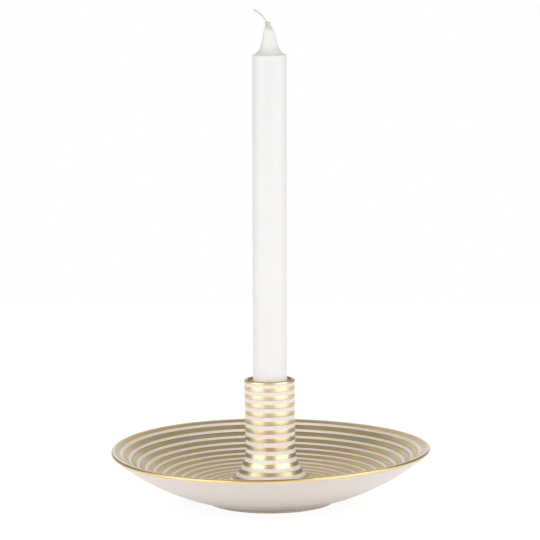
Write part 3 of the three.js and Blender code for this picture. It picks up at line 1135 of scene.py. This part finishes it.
# %% Floor and surround
FLOOR_SIZE = 1.7
FLOOR_WHITE = 0.7
FLOOR_GLOW = 1.3
FLOOR_COLOUR = (0.80, 0.75, 0.71, 1)
WORLD_AMBIENT = 0.535


def seen_directly(tree):
    """1 for rays from the camera, a mirror or glass, and 0 for light that bounces about."""
    path = add(tree, "ShaderNodeLightPath").outputs
    either = larger(tree, path["Is Camera Ray"], path["Is Glossy Ray"])
    return larger(tree, either, path["Is Transmission Ray"])


def pale_floor():
    material, tree, shader = finish("pale_floor", Roughness=0.9, Base_Color=FLOOR_COLOUR)
    white = add(tree, "ShaderNodeEmission", {"Strength": FLOOR_GLOW})
    share = times(tree, seen_directly(tree), FLOOR_WHITE)
    mixed = add(tree, "ShaderNodeMixShader", {0: share, 1: shader.outputs[0], 2: white.outputs[0]})
    tree.links.new(mixed.outputs[0], tree.nodes["Material Output"].inputs["Surface"])
    return material


def panel(name, width, depth, place, turn, material):
    """A flat stage panel."""
    matrix = Matrix.Translation(place) @ turn.to_4x4()
    halves = ((-1, -1), (1, -1), (1, 1), (-1, 1))
    corners = [matrix @ Vector((x * width / 2, y * depth / 2, 0)) for x, y in halves]
    mesh = bpy.data.meshes.new(name)
    mesh.from_pydata(corners, [], [(0, 1, 2, 3)])
    mesh.materials.append(material)
    made = bpy.data.objects.new(name, mesh)
    bpy.context.scene.collection.objects.link(made)
    return made


panel("pale_floor", FLOOR_SIZE, FLOOR_SIZE, Vector((0, 0, 0)), Matrix.Identity(3), pale_floor())

world = bpy.data.worlds.new("white_surround")
bpy.context.scene.world = world
world.use_nodes = True
tree = world.node_tree
background = tree.nodes["Background"]
background.inputs["Color"].default_value = (1, 1, 1, 1)
strength = maths(tree, "MULTIPLY_ADD", seen_directly(tree), 1.0 - WORLD_AMBIENT, WORLD_AMBIENT)
tree.links.new(strength, background.inputs["Strength"])
bpy.context.scene.view_settings.view_transform = "Standard"
print("floor", FLOOR_SIZE, "m across, light from all round", WORLD_AMBIENT)

# %% [markdown]
# Two big soft boxes stand left and right of the camera. They are what the gold mirrors: the bright
# stretches on the stem are the boxes, and the darker strip down its middle is the gap between them. A
# weaker box behind keeps the far side from going dark. It only lights, and nothing mirrors it.

# %% Lights
LAMPS_AIM = Vector((0, 0, 0.12))


def soft_box(name, azimuth, size, radiance, distance=1.1, height=0.48):
    """A rectangular lamp at an angle from the camera's side, facing the axis."""
    lamp = bpy.data.lights.new(name, "AREA")
    lamp.shape = "RECTANGLE"
    lamp.size, lamp.size_y = size
    lamp.energy = radiance * math.pi * size[0] * size[1]
    made = bpy.data.objects.new(name, lamp)
    bpy.context.scene.collection.objects.link(made)
    angle = math.radians(azimuth)
    made.location = (distance * math.sin(angle), -distance * math.cos(angle), height)
    aim = LAMPS_AIM - made.location
    made.rotation_euler = aim.to_track_quat("-Z", "Y").to_euler()
    made.visible_camera = False
    print(name, "gives", round(lamp.energy, 2), "W")
    return made


soft_box("soft_box_left", azimuth=-56, size=(1.2, 0.95), radiance=2.17)
soft_box("soft_box_right", azimuth=56, size=(1.4, 0.95), radiance=2.12)
back_fill = soft_box("soft_box_back", azimuth=180, size=(1.6, 0.9), radiance=1.3, distance=1.3, height=0.5)
back_fill.visible_glossy = False

# %% [markdown]
# What gold shows is the room round it. A real studio is dim above and behind the lamps, so grey cards
# stand there. Warm ones overhead, two at the far side, one behind the plate and one before it, give the
# gold inside the dish its deep tone. One behind and one behind the camera keep the stem's middle and the
# rim from mirroring plain white, and one on either side, beyond the lamps, darkens the edges of the stem.
# They give off a little light of their own, as a grey wall does, and the camera doesn't see them.

# %% Grey cards
NEUTRAL = (1, 1, 1, 1)
WARM = (1.0, 0.905, 0.70, 1)
CEILING = 1.15
FLAT = Matrix.Identity(3)
FACING_CAMERA = Matrix.Rotation(math.pi / 2, 3, "X")
FACING_SIDE = Matrix.Rotation(math.pi / 2, 3, "Y")


def grey_card(name, size, place, turn, strength, tint=NEUTRAL):
    """A dim card, which the gold mirrors and the camera doesn't see."""
    material = bpy.data.materials.new(name)
    material.use_nodes = True
    tree = material.node_tree
    tree.nodes.remove(tree.nodes["Principled BSDF"])
    glow = add(tree, "ShaderNodeEmission", {"Color": tint, "Strength": strength})
    tree.links.new(glow.outputs[0], tree.nodes["Material Output"].inputs["Surface"])
    card = panel(name, *size, Vector(place), turn, material)
    card.visible_camera = False


for side, glow in ((-1, 0.70), (1, 0.58)):
    grey_card(f"grey_ceiling_far_{side}", (2.5, 1.7), (1.25 * side, 2.05, CEILING), FLAT, glow, WARM)
    grey_card(f"grey_side_{side}", (1.1, 1.6), (0.9 * side, 0.95, 0.55), FACING_SIDE, 0.28)
grey_card("grey_ceiling_back", (5, 1.3), (0, 0.55, CEILING), FLAT, 0.295, WARM)
grey_card("grey_ceiling_front", (5, 2), (0, -1.1, CEILING), FLAT, 0.44, WARM)
grey_card("grey_back", (5, 0.85), (0, 2.9, 0.72), FACING_CAMERA, 0.78)
grey_card("grey_front", (2.0, 1.5), (0, -2.6, 0.7), FACING_CAMERA, 0.78)

# %% [markdown]
# The camera is worked out from the picture: how far the rim's ellipse is open gives its height, and the
# taper of the candle its distance. A long lens from two metres is what a product photographer would use.

# %% Camera
AIM = Vector((0.3 * MM, 0, 149.6 * MM))
DISTANCE = 2138 * MM
ELEVATION = math.radians(8.15)
ROLL = math.radians(0.38)
PICTURE = 540
FOCAL_PIXELS = 3355

lens = bpy.data.cameras.new("camera")
lens.sensor_width = 36
lens.lens = FOCAL_PIXELS / PICTURE * lens.sensor_width
lens.clip_start, lens.clip_end = 0.05, 50
camera = bpy.data.objects.new("camera", lens)
bpy.context.scene.collection.objects.link(camera)
back = Vector((0, -math.cos(ELEVATION), math.sin(ELEVATION)))
camera.location = AIM + back * DISTANCE
camera.rotation_mode = "QUATERNION"
level = (-back).to_track_quat("-Z", "Y")
camera.rotation_quaternion = level @ Matrix.Rotation(-ROLL, 3, "Z").to_quaternion()
bpy.context.scene.camera = camera
print("camera at", [round(v, 3) for v in camera.location], "m, lens", round(lens.lens, 1), "mm")
